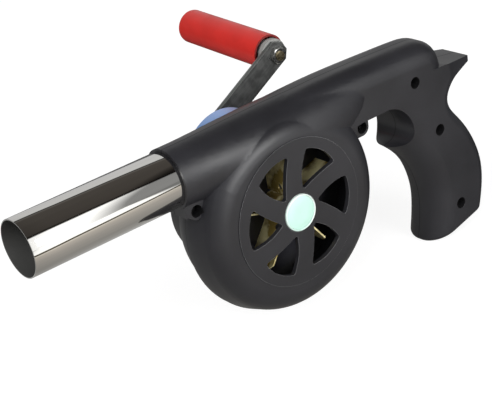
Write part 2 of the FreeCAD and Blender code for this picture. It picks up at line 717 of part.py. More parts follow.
def involute(base_r, radius, start):
    """A point of the involute from base_r at the given radius, its foot at angle start."""
    roll = math.sqrt(max((radius / base_r) ** 2 - 1.0, 0.0))
    angle = start + roll - math.atan(roll)
    return radius * math.cos(angle), radius * math.sin(angle)


def gear(teeth, y0, y1, x, z, tooth_towards):
    """A spur gear with one tooth's middle pointing at the angle tooth_towards, in degrees."""
    pressure = math.radians(PRESSURE_DEG)
    pitch = pitch_r(teeth)
    base = pitch * math.cos(pressure)
    tip = pitch + ADDENDUM * GEAR_MODULE
    root = pitch - DEDENDUM * GEAR_MODULE
    half_tooth = math.pi / (2 * teeth) - TOOTH_PLAY / pitch
    foot = -(half_tooth + math.tan(pressure) - pressure)
    low = max(base, root)
    flank = [involute(base, low + share * (tip - low), foot) for share in (0.0, 0.5, 1.0)]
    start = polar(root, math.degrees(math.atan2(flank[0][1], flank[0][0])))
    edges = []
    step = 2 * math.pi / teeth

    def turned(point, angle):
        c, s = math.cos(angle), math.sin(angle)
        return at(x + point[0] * c - point[1] * s, y0, z + point[0] * s + point[1] * c)

    def mirrored(point):
        return point[0], -point[1]

    for number in range(teeth):
        angle = math.radians(tooth_towards) + number * step
        rise = [turned(point, angle) for point in flank]
        fall = [turned(mirrored(point), angle) for point in reversed(flank)]
        foot_in, foot_out = turned(start, angle), turned(mirrored(start), angle)
        crown = turned((tip, 0), angle)
        valley = turned((root, 0), angle + step / 2)
        following = turned(start, angle + step)
        if (rise[0] - foot_in).Length > CLOSE:
            edges.append(Part.makeLine(foot_in, rise[0]))
        edges.append(Part.Arc(*rise).toShape())
        edges.append(Part.Arc(rise[-1], crown, fall[0]).toShape())
        edges.append(Part.Arc(*fall).toShape())
        if (fall[-1] - foot_out).Length > CLOSE:
            edges.append(Part.makeLine(fall[-1], foot_out))
        last = edges[-1].valueAt(edges[-1].LastParameter)
        end = following if (rise[0] - foot_in).Length > CLOSE else turned(flank[0], angle + step)
        edges.append(Part.Arc(last, valley, end).toShape())
    return Part.Face(Part.Wire(edges)).extrude(at(0, y1 - y0, 0))


def towards(x0, z0, x1, z1):
    return math.degrees(math.atan2(z1 - z0, x1 - x0))


def gap_angle(teeth, direction):
    """The tooth angle that leaves a gap at the given direction."""
    return direction + 180.0 / teeth


def crank_gear():
    wheel = gear(CRANK_TEETH, *CRANK_GEAR_Y, CRANK_X, CRANK_Z,
                 towards(CRANK_X, CRANK_Z, IDLER_X, IDLER_Z))
    hub = disc(CRANK_HUB_R, CRANK_GEAR_Y[0], CRANK_HUB_END_Y, CRANK_X, CRANK_Z)
    cuts = [disc(CRANK_SHAFT_R, 0, FAR, CRANK_X, CRANK_Z)]
    count, radius, hole_r = SPOKE_HOLES
    for number in range(count):
        x, z = crank_spot(radius, number * 360.0 / count)
        cuts.append(disc(hole_r, 0, FAR, x, z))
    return fuse_all([wheel, hub]).cut(cuts)


def compound_gear():
    large = gear(LARGE_TEETH, *LARGE_GEAR_Y, IDLER_X, IDLER_Z, towards(IDLER_X, IDLER_Z, 0, 0))
    small = gear(SMALL_TEETH, LARGE_GEAR_Y[0], CRANK_GEAR_Y[1] + PINION_OVERHANG, IDLER_X, IDLER_Z,
                 gap_angle(SMALL_TEETH, towards(IDLER_X, IDLER_Z, CRANK_X, CRANK_Z)))
    return fuse_all([large, small]).cut(disc(FAN_SHAFT_R + RUNNING, 0, FAR, IDLER_X, IDLER_Z))


def fan_pinion():
    wheel = gear(PINION_TEETH, LARGE_GEAR_Y[0] - PINION_OVERHANG, LARGE_GEAR_Y[1] + PINION_OVERHANG,
                 0, 0, gap_angle(PINION_TEETH, towards(0, 0, IDLER_X, IDLER_Z)))
    return wheel.cut(disc(FAN_SHAFT_R, 0, FAR))


def fan_bush(radius, ends):
    return ring(radius, FAN_SHAFT_R + RUNNING, *ends)


def impeller_disc():
    return ring(IMPELLER_R, FAN_SHAFT_R, *IMPELLER_DISC_Y)


def impeller_hub():
    return ring(FAN_HUB_R, FAN_SHAFT_R, FAN_HUB_FRONT_Y, IMPELLER_DISC_Y[0])


def impeller_blades():
    """Straight sheet blades that stand on the disc, each with an eyelet's hole near the hub."""
    points = [at(radius, y, 0) for radius, y in BLADE_OUTLINE]
    blade = Part.Face(Part.makePolygon(points + points[:1])).extrude(at(0, 0, BLADE_THICK))
    eyelet = Part.makeCylinder(EYELET_R, 2 * PAST + BLADE_THICK, at(*EYELET_AT, -PAST), AXIS_Z)
    blade = blade.cut(eyelet)
    blades = []
    for number in range(BLADE_COUNT):
        turned = blade.copy()
        turned.rotate(ORIGIN, AXIS_Y, -BLADE_PHASE_DEG - number * 360.0 / BLADE_COUNT)
        blades.append(turned)
    return Part.makeCompound(blades)


def on_crank(shape):
    """From the crank's own frame (arm along +X) to its place at rest."""
    shape.rotate(ORIGIN, AXIS_Y, -CRANK_ANGLE_DEG)
    shape.translate(at(CRANK_X, 0, CRANK_Z))
    return shape


def past_bend(shape):
    """From the frame of the arm's outer part (its bend at the origin) to the crank's own frame."""
    shape.rotate(ORIGIN, AXIS_Z, -ARM_BEND_DEG)
    shape.translate(at(ARM_BEND_AT, ARM_FRONT_Y + ARM_THICK / 2, 0))
    return shape


def outer_reach():
    """From the bend to the handle's bolt, along the arm's outer part."""
    return (CRANK_LENGTH - ARM_BEND_AT) / math.cos(math.radians(ARM_BEND_DEG))


def on_handle(shape):
    """From the bolt's own frame (its axis on Y, the arm's mid-plane at Y = 0) to its place."""
    shape.translate(at(outer_reach(), 0, 0))
    return on_crank(past_bend(shape))


def hex_prism(across_flats, y0, y1):
    """A nut's body: a hexagon with both ends chamfered to a cone."""
    corner_r = across_flats / math.sqrt(3.0)
    corners = [polar(corner_r, 30.0 + 60.0 * number) for number in range(6)]
    points = [at(x, y0, z) for x, z in corners]
    prism = Part.Face(Part.makePolygon(points + points[:1])).extrude(at(0, y1 - y0, 0))
    middle = at(0, (y0 + y1) / 2, 0)
    half = (y1 - y0) / 2
    end_r = corner_r - NUT_CHAMFER
    cones = [Part.makeCone(corner_r + half, end_r, half, middle, way) for way in (AXIS_Y, -AXIS_Y)]
    return prism.common(fuse_all(cones))


def flats(half_gap, y0, y1):
    """The two blocks that leave a bar of half_gap each way between them."""
    return [box(-FAR, FAR, y0, y1, half_gap, FAR), box(-FAR, FAR, y0, y1, -FAR, -half_gap)]


def crank_shaft():
    """The shaft through the gear case, its collar and the flatted end that drives the arm."""
    shaft = fuse_all([disc(SHAFT_END_R, SHAFT_FRONT_Y, SHAFT_STEP_Y),
                      disc(CRANK_SHAFT_R, SHAFT_STEP_Y, COLLAR_START_Y),
                      disc(COLLAR_R, COLLAR_START_Y, ARM_FRONT_Y),
                      disc(SHAFT_END_R, ARM_FRONT_Y, SHAFT_REAR_Y)])
    return on_crank(shaft.cut(flats(SHAFT_FLAT, ARM_FRONT_Y, ARM_FRONT_Y + ARM_THICK)))


def crank_arm():
    """The flat steel arm, bent a little towards the casing."""
    half_w, half_t = ARM_WIDTH / 2, ARM_THICK / 2
    middle_y = ARM_FRONT_Y + half_t
    reach = outer_reach()
    bevel = half_w * math.tan(math.radians(22.5))
    end_u = reach + half_w
    side_u = reach + bevel
    outline = [(0, -half_w), (side_u, -half_w), (end_u, -bevel), (end_u, bevel), (side_u, half_w),
               (0, half_w)]
    points = [at(u, -half_t, w) for u, w in outline]
    outer = Part.Face(Part.makePolygon(points + points[:1])).extrude(at(0, ARM_THICK, 0))
    outer = past_bend(outer.cut(disc(BOLT_R + BOLT_CLEAR, -FAR, FAR, reach, 0)))
    side = half_t * math.tan(math.radians(ARM_BEND_DEG) / 2)
    wrist = [at(0, ARM_FRONT_Y, -half_w), at(ARM_BEND_AT - side, ARM_FRONT_Y, -half_w),
             at(ARM_BEND_AT, middle_y, -half_w),
             at(ARM_BEND_AT + side, ARM_FRONT_Y + ARM_THICK, -half_w),
             at(0, ARM_FRONT_Y + ARM_THICK, -half_w)]
    inner = Part.Face(Part.makePolygon(wrist + wrist[:1])).extrude(at(0, 0, ARM_WIDTH))
    trim = box(ARM_BEND_AT, FAR, -FAR, FAR, -FAR, FAR)
    trim.rotate(at(ARM_BEND_AT, middle_y, 0), AXIS_Z, -ARM_BEND_DEG / 2)
    eye = disc(ARM_EYE_R, ARM_FRONT_Y, ARM_FRONT_Y + ARM_THICK)
    hole = disc(SHAFT_END_R + ARM_HOLE_GAP, 0, FAR).cut(flats(SHAFT_FLAT + ARM_HOLE_GAP, 0, FAR))
    return on_crank(fuse_all([inner, outer.common(trim), eye]).cut(hole))


def crank_washer():
    start = ARM_FRONT_Y + ARM_THICK
    return on_crank(ring(CRANK_WASHER_R, SHAFT_END_R + BOLT_CLEAR, start, start + CRANK_WASHER_H))


def crank_nut():
    start = ARM_FRONT_Y + ARM_THICK + CRANK_WASHER_H
    nut = hex_prism(CRANK_NUT_AF, start, start + CRANK_NUT_H)
    return on_crank(nut.cut(disc(SHAFT_END_R + THREAD_GAP, 0, FAR)))


def handle_nut():
    nut = hex_prism(NUT_AF, -ARM_THICK / 2 - NUT_H, -ARM_THICK / 2)
    return on_handle(nut.cut(disc(BOLT_R + THREAD_GAP, -FAR, FAR)))


def handle_bolt():
    """The long bolt that the handle turns on, its head sunk in the handle's far end."""
    head_seat = HANDLE_END - HEAD_POCKET_DEPTH + WASHER_GAP + HANDLE_WASHER_H
    tip = -ARM_THICK / 2 - NUT_H - BOLT_STANDS_OUT
    return on_handle(pan_screw(0, 0, head_seat, tip, BOLT_R, HEAD_R, HEAD_H))


def handle_washer():
    seat = HANDLE_END - HEAD_POCKET_DEPTH + WASHER_GAP
    return on_handle(ring(HANDLE_WASHER_R, BOLT_R + BOLT_CLEAR, seat, seat + HANDLE_WASHER_H))


def handle_spacer():
    """The flanged spacer between the arm and the handle, its neck inside the handle."""
    flange = disc(SPACER_R, ARM_THICK / 2, SPACER_FLANGE)
    flange = flange.makeFillet(SPACER_ROUND, rear_rim(flange))
    spacer = fuse_all([flange, disc(SPACER_NECK_R, ARM_THICK / 2, SPACER_END)])
    return on_handle(spacer.cut(disc(BOLT_R + BOLT_CLEAR, -FAR, FAR)))


def handle_grip():
    """The sleeve that the hand turns: recessed at the arm, rounded at the far end."""
    body = disc(HANDLE_R, HANDLE_START, HANDLE_END)
    body = body.makeFillet(HANDLE_ROUND, rear_rim(body))
    cuts = [disc(HANDLE_RECESS_R, 0, HANDLE_RECESS_END), disc(BOLT_R + RUNNING, 0, FAR),
            disc(HEAD_POCKET_R, HANDLE_END - HEAD_POCKET_DEPTH, FAR)]
    return on_handle(body.cut(cuts))


def all_pieces():
    return {
        "front_shell": front_shell(),
        "rear_shell": rear_shell(),
        "air_tube": air_tube(),
        "hub_badge": hub_badge(),
        "gear_plate": gear_plate(),
        "gear_plate_screws": gear_plate_screws(),
        "shell_screws": shell_screws(),
        "front_fan_bush": fan_bush(FRONT_BUSH_R, FRONT_BUSH_Y),
        "rear_fan_bush": fan_bush(REAR_BUSH_R, REAR_BUSH_Y),
        "idler_axle": disc(FAN_SHAFT_R, PLATE_Y[0], AXLE_END_Y, IDLER_X, IDLER_Z),
        "gear_cover": gear_cover(),
        "gear_cover_screws": gear_cover_screws(),
        "crank_bush": crank_bush(),
        "fan_shaft": disc(FAN_SHAFT_R, *FAN_SHAFT_Y),
        "impeller_disc": impeller_disc(),
        "impeller_blades": impeller_blades(),
        "impeller_hub": impeller_hub(),
        "fan_pinion": fan_pinion(),
        "compound_gear": compound_gear(),
        "crank_shaft": crank_shaft(),
        "crank_gear": crank_gear(),
        "crank_arm": crank_arm(),
        "crank_washer": crank_washer(),
        "crank_nut": crank_nut(),
        "handle_nut": handle_nut(),
        "handle_bolt": handle_bolt(),
        "handle_washer": handle_washer(),
        "handle_spacer": handle_spacer(),
        "handle_grip": handle_grip(),
    }


def main():
    os.makedirs("parts", exist_ok=True)
    for name, piece in all_pieces().items():
        shape = piece.copy()
        shape.translate(at(-TUBE_MOUTH_X, 0, -TUBE_Z))
        shape.exportStep("parts/" + name + ".step")
        print(name, len(shape.Solids), shape.isValid(), round(shape.Volume))


if __name__ == "__main__":
    main()
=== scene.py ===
import json
import math

import bmesh
import bpy
from bpy.props import FloatProperty, FloatVectorProperty, PointerProperty
from bpy.types import Operator, Panel, PropertyGroup
from mathutils import Matrix, Vector

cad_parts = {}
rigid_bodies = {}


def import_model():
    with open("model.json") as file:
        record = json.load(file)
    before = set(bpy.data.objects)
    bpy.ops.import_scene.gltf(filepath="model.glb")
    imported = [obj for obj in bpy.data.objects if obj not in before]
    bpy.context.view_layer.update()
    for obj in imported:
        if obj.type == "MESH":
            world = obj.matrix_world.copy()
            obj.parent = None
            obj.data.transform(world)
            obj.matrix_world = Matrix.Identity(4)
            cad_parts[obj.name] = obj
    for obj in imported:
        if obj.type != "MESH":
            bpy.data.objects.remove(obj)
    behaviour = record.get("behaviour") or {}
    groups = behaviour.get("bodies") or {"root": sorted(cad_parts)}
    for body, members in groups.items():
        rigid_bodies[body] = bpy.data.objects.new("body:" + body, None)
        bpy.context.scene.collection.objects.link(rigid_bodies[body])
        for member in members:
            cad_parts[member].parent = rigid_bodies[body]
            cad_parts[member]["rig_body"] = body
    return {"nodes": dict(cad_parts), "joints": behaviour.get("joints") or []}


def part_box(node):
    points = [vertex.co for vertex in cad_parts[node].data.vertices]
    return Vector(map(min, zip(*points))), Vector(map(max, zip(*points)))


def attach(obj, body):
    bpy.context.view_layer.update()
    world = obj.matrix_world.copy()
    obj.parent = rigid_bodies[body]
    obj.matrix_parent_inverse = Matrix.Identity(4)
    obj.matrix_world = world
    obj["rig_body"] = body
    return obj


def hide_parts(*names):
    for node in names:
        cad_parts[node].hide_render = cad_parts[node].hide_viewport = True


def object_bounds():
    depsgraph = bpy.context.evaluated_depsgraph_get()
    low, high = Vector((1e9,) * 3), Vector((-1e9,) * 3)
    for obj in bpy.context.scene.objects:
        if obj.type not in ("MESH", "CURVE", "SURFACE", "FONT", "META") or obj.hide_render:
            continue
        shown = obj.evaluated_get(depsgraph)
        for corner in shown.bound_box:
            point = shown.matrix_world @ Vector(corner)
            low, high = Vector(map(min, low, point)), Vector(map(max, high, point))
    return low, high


bl_info = {
    "name": "Crank Blower",
    "version": (1, 0, 0),
    "blender": (4, 5, 0),
    "location": "3D View > Sidebar > Blower",
    "description": "Builds the looks of a hand-cranked barbecue blower over its solid model",
    "category": "Object",
}

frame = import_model()
CAD_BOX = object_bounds()
JOINTS = {joint["name"]: joint for joint in frame["joints"]}
TUBE_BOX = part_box("air_tube")
BADGE_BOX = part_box("hub_badge")
GRIP_JOINT = JOINTS["handle_spin"]
FAN_JOINT = JOINTS["fan_spin"]
# The recess at the handle's crank end, from the handle's own origin
RECESS_END = 0.015
RECESS_RADIUS = 0.0089
# The front shell's flat faces, whose rims are rounded, all lie in front of this plane
RIM_Y = -0.0075
# The raised face ring's edge is rounded in front of this plane, and the drum's own edge behind it
RING_EDGE_Y = -0.01935
# The casing screws' axes (x, z), and the reach of the pockets they are sunk in
SCREW_AXES = [(0.0870, -0.0165), (0.1936, -0.0159), (0.2270, -0.0025), (0.2410, -0.0339),
              (0.2512, -0.0809)]
POCKET_REACH = 0.0033
# Shares of -Y in a normal: of a truly flat front face, of one that faces the front, and of the
# roundings between a front face and its walls; and the least angle of a rim
FLAT, FACING = 0.9999, 0.99
ROUNDING = (0.3, 0.99)
RIM_ANGLE = math.radians(60)
# A wall's normal has less than this of Y; the crank arm's edges have less than the second
WALL_Y, ARM_EDGE_Y = 0.5, 0.3
# From the fan's axis forward to the casing's mouth, where the tube steps down to a slimmer neck
MOUTH_REACH = 0.0586
NECK_STEP = (0.0004, 0.0002)
# Faces of the tube within this of its bore's radius belong to the bore
BORE_MARGIN = 0.00005
# Noise scales per metre: the moulded grain, its clouds, and metal's tool lines along and across
GRAIN_SCALE, CLOUD_SCALE = 1400.0, 38.0
LINE_SCALES = (400.0, 900.0)
# Depths of the finest bumps: fine moulded grain, and lines in metal, in plating and in paint
FINE_GRAIN = 0.00001
TOOL_LINES = 0.000004
PLATING_LINES = 0.0000012
PAINT_LINES = 0.000003
# Facets round the turned pieces
TUBE_STEPS, BADGE_STEPS = 128, 72
# The tone that varies a finish (clouds in plastic, tarnish on metal), and the finish's roughness
VARIED = {
    "screw": ((0.05, 0.05, 0.05), 0.4),
    "brass": ((0.5, 0.34, 0.14), 0.3),
    "steel": ((0.4, 0.4, 0.42), 0.25),
    "nylon": ((0.74, 0.73, 0.68), 0.45),
    "zinc": ((0.5, 0.5, 0.48), 0.24),
    "stud": ((0.42, 0.36, 0.24), 0.3),
    "spacer": ((0.27, 0.27, 0.26), 0.4),
    "disc": ((0.02, 0.02, 0.02), 0.5),
    # The screw pockets' near-black tone is painted shade
    "pocket_shade": ((0.006, 0.006, 0.007), 0.7),
    # The face ring's edge tone is a painted highlight
    "ring_edge_highlight": ((0.24, 0.24, 0.25), 0.45),
    "partition": ((0.03, 0.03, 0.03), 0.5),
}


# ---------------------------------------------------------------- settings

def size(name, description, default):
    return FloatProperty(name=name, description=description, default=default, min=0.0, max=1.0,
                         unit="LENGTH", precision=5)


def share(name, description, default):
    return FloatProperty(name=name, description=description, default=default, min=0.0, max=1.0,
                         subtype="FACTOR")


def colour(name, description, default):
    return FloatVectorProperty(name=name, description=description, default=default, size=3,
                               min=0.0, max=1.0, subtype="COLOR")


class CasingSettings(PropertyGroup):
    edge_round: size("Edge round", "Radius of the softened rims of the front moulding", 0.0004)
    seam: size("Seam", "Half width of the dark line where the shells part", 0.00022)
    plastic: colour("Plastic", "Black moulded plastic", (0.016, 0.016, 0.019))
    mottle: colour("Mottle", "Paler tone in the cloudy variation", (0.022, 0.022, 0.026))
    line: colour("Line", "Dark line where the shells part", (0.001, 0.001, 0.001))
    # Painted shade: a near-black tone on the screw pockets' walls stands in for the shade deep in
    # them
    pocket_shade: colour("Pocket", "Walls of the screw pockets", (0.004, 0.004, 0.0045))
    # Painted highlight: a pale grey on the face ring's rounded edge stands in for the light it
    # catches
    ring_edge_highlight: colour("Ring edge highlight", "Painted highlight on the raised face ring's edge", (0.17, 0.17, 0.176))
    partition: colour("Partition", "Wall between the fan and the gears", (0.02, 0.02, 0.02))
    gloss: share("Roughness", "Roughness of the satin plastic", 0.38)
    grain: size("Grain depth", "Depth of the moulded grain", 0.00002)


class TubeSettings(PropertyGroup):
    radius: size("Radius", "Outside radius of the air tube", 0.014)
    wall: size("Wall", "Thickness of the tube", 0.0006)
    rim: size("Rim round", "Rounding of the tube's mouth", 0.00022)
    chrome: colour("Chrome", "Polished plating", (0.80, 0.79, 0.77))
    inside: colour("Inside", "Dull metal inside the tube", (0.03, 0.03, 0.029))
    # Painted light: the paler tone low in the bore
    painted_low_light: colour("Painted low light", "Paler tone low inside the tube", (0.06, 0.06, 0.058))


class BadgeSettings(PropertyGroup):
    radius: size("Radius", "Outside radius of the hub badge", 0.0093)
    ring: size("Ring width", "Width of the pale edge ring", 0.0009)
    gap: size("Gap", "Fine gap between the face and the ring", 0.0001)
    mint: colour("Mint", "Face of the badge", (0.60, 0.90, 0.79))
    edge: colour("Edge", "Ring round the badge", (0.86, 0.90, 0.88))
    gloss: share("Roughness", "Roughness of the badge", 0.35)
    grain: size("Grain depth", "Depth of the badge's grain", 0.000004)


class FanSettings(PropertyGroup):
    gold: colour("Gold", "Passivated sheet of the blades", (1.0, 0.90, 0.50))
    deep_gold: colour("Deep gold", "Darker patches of the blades", (0.30, 0.22, 0.06))
    dents: size("Dents", "Depth of the blades' shallow dents", 0.0001)
    # Painted shade: a dark navy tone on the disc stands in for the shade behind the blades
    disc: colour("Disc", "Painted shade on the disc behind the blades", (0.018, 0.018, 0.026))
    brass: colour("Brass", "Pinion and bushes", (0.72, 0.52, 0.22))
    steel: colour("Steel", "Shafts", (0.55, 0.55, 0.56))
    nylon: colour("Nylon", "White gears", (0.80, 0.79, 0.75))


class CrankSettings(PropertyGroup):
    arm_slope: FloatProperty(name="Arm slope", description="The arm's rise from level",
                             default=math.radians(31.3), subtype="ANGLE")
    arm_round: size("Arm round", "Radius of the arm's softened edges", 0.0003)
    nut_round: size("Nut round", "Radius of the nuts' softened edges", 0.00015)
    arm: colour("Arm", "Dark paint of the crank arm", (0.062, 0.063, 0.062))
    bare: colour("Bare metal", "Worn edges of the arm", (0.42, 0.44, 0.43))
    zinc: colour("Zinc", "Plated nuts and washers", (0.66, 0.66, 0.64))
    stud: colour("Stud", "Yellow-plated bolt", (0.62, 0.52, 0.32))
    spacer: colour("Spacer", "Grey spacer at the handle", (0.33, 0.33, 0.32))
    cover: colour("Cover", "Blue cover round the crank", (0.30, 0.44, 0.80))
    # Painted shade at the cover's tube end and a painted highlight at its grip end
    cover_painted_shade: colour("Cover painted shade", "The cover's end towards the tube", (0.06, 0.19, 0.42))
    cover_painted_highlight: colour("Cover painted highlight", "The cover's end towards the grip", (0.75, 0.76, 0.86))
    screw: colour("Screws", "Blackened screws", (0.02, 0.02, 0.021))


class HandleSettings(PropertyGroup):
    red: colour("Red", "Red plastic of the handle", (0.72, 0.026, 0.019))
    recess_shade_red: colour("Recess shade red", "Shaded red in the recess", (0.20, 0.012, 0.01))
    gloss: share("Roughness", "Roughness of the handle", 0.32)
    specular: share("Specular", "Strength of the handle's reflections", 0.3)


class StageSettings(PropertyGroup):
    floor: colour("Floor", "Share of the light that the seen floor returns", (0.30, 0.30, 0.30))
    glow: share("Floor white", "White of the seen floor apart from its shadow", 0.84)
    table: colour("Table", "Floor as it lights the blower from below", (0.50, 0.49, 0.47))
    lens: FloatProperty(name="Lens", description="Focal length in millimetres", default=103.1,
                        unit="CAMERA")


SETTINGS = {
    "blower_casing": CasingSettings, "blower_tube": TubeSettings, "blower_badge": BadgeSettings,
    "blower_fan": FanSettings, "blower_crank": CrankSettings, "blower_handle": HandleSettings,
    "blower_stage": StageSettings,
}


# ---------------------------------------------------------------- node helpers

def rgba(values):
    return (values[0], values[1], values[2], 1.0)


def add(tree, kind, **values):
    node = tree.nodes.new(kind)
    for name, value in values.items():
        setattr(node, name, value)
    return node


def axes_of(tree, space="Object"):
    """The X, Y and Z outputs of a place or a direction."""
    place = add(tree, "ShaderNodeTexCoord")
    split = add(tree, "ShaderNodeSeparateXYZ")
    tree.links.new(place.outputs[space], split.inputs["Vector"])
    return split.outputs


def source_of(shader, name):
    """The output that feeds one of the shader's inputs."""
    return shader.inputs[name].links[0].from_socket


def group_with(name, inputs, outputs):
    """An empty shader group with float inputs (name, default) and the named outputs."""
    group = bpy.data.node_groups.new(name, "ShaderNodeTree")
    for label, default in inputs:
        socket = group.interface.new_socket(label, in_out="INPUT", socket_type="NodeSocketFloat")
        socket.default_value = default
    for label in outputs:
        group.interface.new_socket(label, in_out="OUTPUT", socket_type="NodeSocketFloat")
    return group, add(group, "NodeGroupInput"), add(group, "NodeGroupOutput")


def moulded_grain():
    """Fine spark-eroded grain with a slow cloudy variation under it."""
    if "Moulded grain" in bpy.data.node_groups:
        return bpy.data.node_groups["Moulded grain"]
    group, source, result = group_with(
        "Moulded grain", [("Grain scale", GRAIN_SCALE), ("Cloud scale", CLOUD_SCALE)],
        ["Height", "Cloud"])
    place = add(group, "ShaderNodeTexCoord")
    fine = add(group, "ShaderNodeTexNoise")
    fine.inputs["Detail"].default_value = 2.0
    cloud = add(group, "ShaderNodeTexNoise")
    cloud.inputs["Detail"].default_value = 3.0
    group.links.new(place.outputs["Object"], fine.inputs["Vector"])
    group.links.new(place.outputs["Object"], cloud.inputs["Vector"])
    group.links.new(source.outputs["Grain scale"], fine.inputs["Scale"])
    group.links.new(source.outputs["Cloud scale"], cloud.inputs["Scale"])
    group.links.new(fine.outputs["Fac"], result.inputs["Height"])
    group.links.new(cloud.outputs["Fac"], result.inputs["Cloud"])
    return group


def drawn_lines():
    """Long faint lines along one direction, as on drawn or ground metal."""
    if "Drawn lines" in bpy.data.node_groups:
        return bpy.data.node_groups["Drawn lines"]
    group, source, result = group_with(
        "Drawn lines", [("Along", LINE_SCALES[0]), ("Across", LINE_SCALES[1]), ("Turn", 0.0)],
        ["Lines"])
    place = add(group, "ShaderNodeTexCoord")
    turn = add(group, "ShaderNodeVectorRotate", rotation_type="Y_AXIS")
    scale = add(group, "ShaderNodeCombineXYZ")
    stretch = add(group, "ShaderNodeVectorMath", operation="MULTIPLY")
    lines = add(group, "ShaderNodeTexNoise")
    lines.inputs["Scale"].default_value = 1.0
    lines.inputs["Detail"].default_value = 2.0
    group.links.new(source.outputs["Along"], scale.inputs["X"])
    group.links.new(source.outputs["Across"], scale.inputs["Y"])
    group.links.new(source.outputs["Across"], scale.inputs["Z"])
    group.links.new(place.outputs["Object"], turn.inputs["Vector"])
    group.links.new(source.outputs["Turn"], turn.inputs["Angle"])
    group.links.new(turn.outputs["Vector"], stretch.inputs[0])
    group.links.new(scale.outputs["Vector"], stretch.inputs[1])
    group.links.new(stretch.outputs["Vector"], lines.inputs["Vector"])
    group.links.new(lines.outputs["Fac"], result.inputs["Lines"])
    return group


def blank_material(name, roughness, metallic=0.0):
    material = bpy.data.materials.new(name)
    material.use_nodes = True
    shader = material.node_tree.nodes["Principled BSDF"]
    shader.inputs["Roughness"].default_value = roughness
    shader.inputs["Metallic"].default_value = metallic
    return material, material.node_tree, shader


def spread(tree, value, low, high, first=0.3, last=0.7):
    """The value's middle range, stretched from low to high."""
    node = add(tree, "ShaderNodeMapRange")
    node.inputs["From Min"].default_value = first
    node.inputs["From Max"].default_value = last
    node.inputs["To Min"].default_value = low
    node.inputs["To Max"].default_value = high
    tree.links.new(value, node.inputs["Value"])
    return node.outputs["Result"]


def blend_colours(tree, factor, first, second):
    """Two colours mixed by a mask. A colour is a tuple or another node's output."""
    node = add(tree, "ShaderNodeMix", data_type="RGBA")
    tree.links.new(factor, node.inputs["Factor"])
    for socket, value in ((node.inputs["A"], first), (node.inputs["B"], second)):
        if isinstance(value, bpy.types.NodeSocket):
            tree.links.new(value, socket)
        else:
            socket.default_value = rgba(value)
    return node.outputs["Result"]


def raise_surface(tree, shader, height, depth):
    """Bump on the shader's normal: height from 0 to 1, depth in metres."""
    node = add(tree, "ShaderNodeBump")
    node.inputs["Distance"].default_value = depth
    tree.links.new(height, node.inputs["Height"])
    tree.links.new(node.outputs["Normal"], shader.inputs["Normal"])


def grain_node(tree, grain_scale, cloud_scale):
    node = add(tree, "ShaderNodeGroup", node_tree=moulded_grain())
    node.inputs["Grain scale"].default_value = grain_scale
    node.inputs["Cloud scale"].default_value = cloud_scale
    return node


def lines_node(tree, along, across, turn=0.0):
    """The drawn lines run along X, or turned from it about Y by an angle."""
    node = add(tree, "ShaderNodeGroup", node_tree=drawn_lines())
    node.inputs["Along"].default_value = along
    node.inputs["Across"].default_value = across
    node.inputs["Turn"].default_value = turn
    return node


def plastic(name, base, cloudy, roughness, depth, grain_scale=GRAIN_SCALE,
            cloud_scale=CLOUD_SCALE):
    """Moulded plastic: cloudy colour, grain in the bump, and a little play in the gloss."""
    material, tree, shader = blank_material(name, roughness)
    grain = grain_node(tree, grain_scale, cloud_scale)
    cloud = spread(tree, grain.outputs["Cloud"], 0.0, 1.0)
    tree.links.new(blend_colours(tree, cloud, base, cloudy), shader.inputs["Base Color"])
    gloss = spread(tree, grain.outputs["Cloud"], roughness - 0.04, roughness + 0.05)
    tree.links.new(gloss, shader.inputs["Roughness"])
    raise_surface(tree, shader, grain.outputs["Height"], depth)
    return material


def metal(name, base, tarnish, roughness, along=LINE_SCALES[0], turn=0.0):
    """Bare or plated metal with faint tool lines."""
    material, tree, shader = blank_material(name, roughness, metallic=1.0)
    lines = lines_node(tree, along, LINE_SCALES[1], turn)
    tone = spread(tree, lines.outputs["Lines"], 0.0, 0.6)
    tree.links.new(blend_colours(tree, tone, base, tarnish), shader.inputs["Base Color"])
    gloss = spread(tree, lines.outputs["Lines"], roughness * 0.8, roughness * 1.3)
    tree.links.new(gloss, shader.inputs["Roughness"])
    raise_surface(tree, shader, lines.outputs["Lines"], TOOL_LINES)
    return material


def tinted(tone, factor):
    """A tone times a factor."""
    return tuple(value * factor for value in tone)


# ---------------------------------------------------------------- mesh helpers

def finish_mesh(name, bm, material, body, sharp_degrees=32.0):
    """Turns a bmesh into a smooth-shaded piece that rides on a body, sharp past an angle."""
    bmesh.ops.recalc_face_normals(bm, faces=bm.faces)
    mesh = bpy.data.meshes.new(name)
    bm.to_mesh(mesh)
    bm.free()
    if "custom_normal" in mesh.attributes:
        mesh.attributes.remove(mesh.attributes["custom_normal"])
    mesh.shade_smooth()
    mesh.set_sharp_from_angle(angle=math.radians(sharp_degrees))
    piece = bpy.data.objects.new(name, mesh)
    bpy.context.scene.collection.objects.link(piece)
    piece.data.materials.append(material)
    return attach(piece, body)


def copy_of(node, flat_degrees=0.0):
    """A bmesh of a node's triangles, welded, with its flat areas cleared of inner edges."""
    bm = bmesh.new()
    bm.from_mesh(frame["nodes"][node].data)
    bmesh.ops.remove_doubles(bm, verts=bm.verts, dist=1e-6)
    if flat_degrees:
        bmesh.ops.dissolve_limit(bm, angle_limit=math.radians(flat_degrees), verts=bm.verts,
                                 edges=bm.edges, use_dissolve_boundaries=False)
    return bm


def dress(node, name, material, flat_degrees=0.0, edge_round=0.0, sharp_degrees=32.0):
    """A welded, smooth-shaded copy of a node that replaces it."""
    body = frame["nodes"][node]["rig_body"]
    piece = finish_mesh(name, copy_of(node, flat_degrees), material, body, sharp_degrees)
    if edge_round:
        soften(piece, edge_round)
    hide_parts(node)
    return piece


